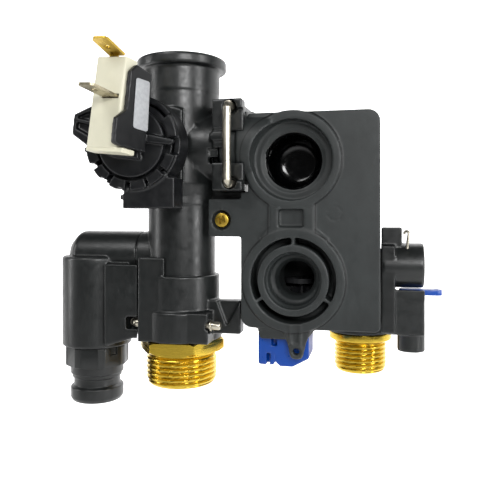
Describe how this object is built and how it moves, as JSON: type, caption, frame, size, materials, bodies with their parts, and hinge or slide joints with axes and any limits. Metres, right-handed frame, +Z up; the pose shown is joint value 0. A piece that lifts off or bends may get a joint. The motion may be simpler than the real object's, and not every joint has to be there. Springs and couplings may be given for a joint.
{
  "type": "diverter valve",
  "caption": "Motorised diverter valve group for a combination boiler: three-way column with motor, exchanger port body, bypass, flow sensor and fill valve.",
  "frame": {"origin": "centre of the end face of the 3/4 inch brass fitting, on its axis", "axes": "+X to the right seen from the motor and port side, +Y to the rear, +Z up along the fittings and the column"},
  "size_m": [0.1458, 0.0983, 0.1303],
  "materials": {
    "black_nylon": "moulded glass-filled nylon",
    "dark_plastic": "satin moulded plastic",
    "cream_plastic": "satin",
    "white_plastic": "acetal",
    "blue_plastic": "satin",
    "brass": "turned",
    "tinned_brass": "tinned",
    "steel": "drawn wire",
    "copper_wire": "enamelled winding",
    "rubber": "matte",
    "magnet": "sintered ferrite",
    "label": "blank paper"
  },
  "bodies": {
    "valve_body": {"diverter_body": "black_nylon", "return_housing": "black_nylon", "bypass_housing": "black_nylon", "bypass_spigot": "black_nylon", "port_body": "black_nylon", "fill_housing": "black_nylon", "motor_mount": "dark_plastic", "motor_can": "dark_plastic", "motor_frame": "dark_plastic", "chamber_cap": "dark_plastic", "rear_cover": "dark_plastic", "terminal_block": "cream_plastic", "spindle_bush": "white_plastic", "spring_stop": "white_plastic", "coil_bobbin": "white_plastic", "turbine_cage": "white_plastic", "check_seat": "white_plastic", "flow_sensor": "blue_plastic", "return_fitting": "brass", "cold_fitting": "brass", "terminal_upper": "brass", "terminal_lower": "tinned_brass", "arm_screw": "tinned_brass", "cross_clip": "steel", "return_clip": "steel", "tap_clip": "steel", "bypass_spring": "steel", "check_spring": "steel", "stator_cup": "steel", "gear_plate": "steel", "cover_screw_1": "steel", "cover_screw_2": "steel", "cover_screw_3": "steel", "cover_screw_4": "steel", "stator_coil": "copper_wire", "branch_seal": "rubber", "cap_seal": "rubber", "return_seal": "rubber", "cold_seal": "rubber", "spigot_seal": "rubber", "sensor_seal": "rubber", "motor_label": "label"},
    "selector": {"output_gear": "white_plastic", "diverter_plug": "white_plastic"},
    "idler": {"compound_gear": "white_plastic"},
    "motor_rotor": {"rotor": "magnet"},
    "bypass_valve": {"bypass_poppet": "white_plastic"},
    "flow_turbine": {"turbine": "white_plastic"},
    "check_valve": {"check_poppet": "white_plastic"},
    "fill_tap": {"fill_tap_key": "blue_plastic", "tap_seal": "rubber"}
  },
  "joints": [
    {"name": "selector_turn", "type": "hinge", "parent": "valve_body", "child": "selector", "pos_m": [0, 0, 0.088], "axis": [0, 1, 0], "range_deg": [0, 90]},
    {"name": "idler_turn", "type": "hinge", "parent": "valve_body", "child": "idler", "pos_m": [-0.0045, -0.018, 0.08345], "axis": [0, 1, 0], "range_deg": [-271, 1]},
    {"name": "rotor_turn", "type": "hinge", "parent": "valve_body", "child": "motor_rotor", "pos_m": [-0.009, -0.02, 0.088], "axis": [0, 1, 0], "range_deg": [-1, 811]},
    {"name": "bypass_lift", "type": "slide", "parent": "valve_body", "child": "bypass_valve", "axis": [0, 0, 1], "range_m": [0, 0.003], "stiffness_N_per_m": 400, "springref_m": -0.002, "deforming": ["bypass_spring"]},
    {"name": "turbine_spin", "type": "hinge", "parent": "valve_body", "child": "flow_turbine", "pos_m": [0.044, 0.016, 0.032], "axis": [0, 0, 1], "continuous": true},
    {"name": "check_lift", "type": "slide", "parent": "valve_body", "child": "check_valve", "axis": [1, 0, 0], "range_m": [0, 0.0022], "stiffness_N_per_m": 120, "springref_m": -0.001},
    {"name": "fill_tap_turn", "type": "hinge", "parent": "valve_body", "child": "fill_tap", "pos_m": [0.0854, 0.014, 0.03], "axis": [0, 0, 1], "range_deg": [-90, 0]}
  ],
  "couplings": [
    {"joint": "idler_turn", "follows": "selector_turn", "ratio": -3},
    {"joint": "rotor_turn", "follows": "selector_turn", "ratio": 9}
  ]
}
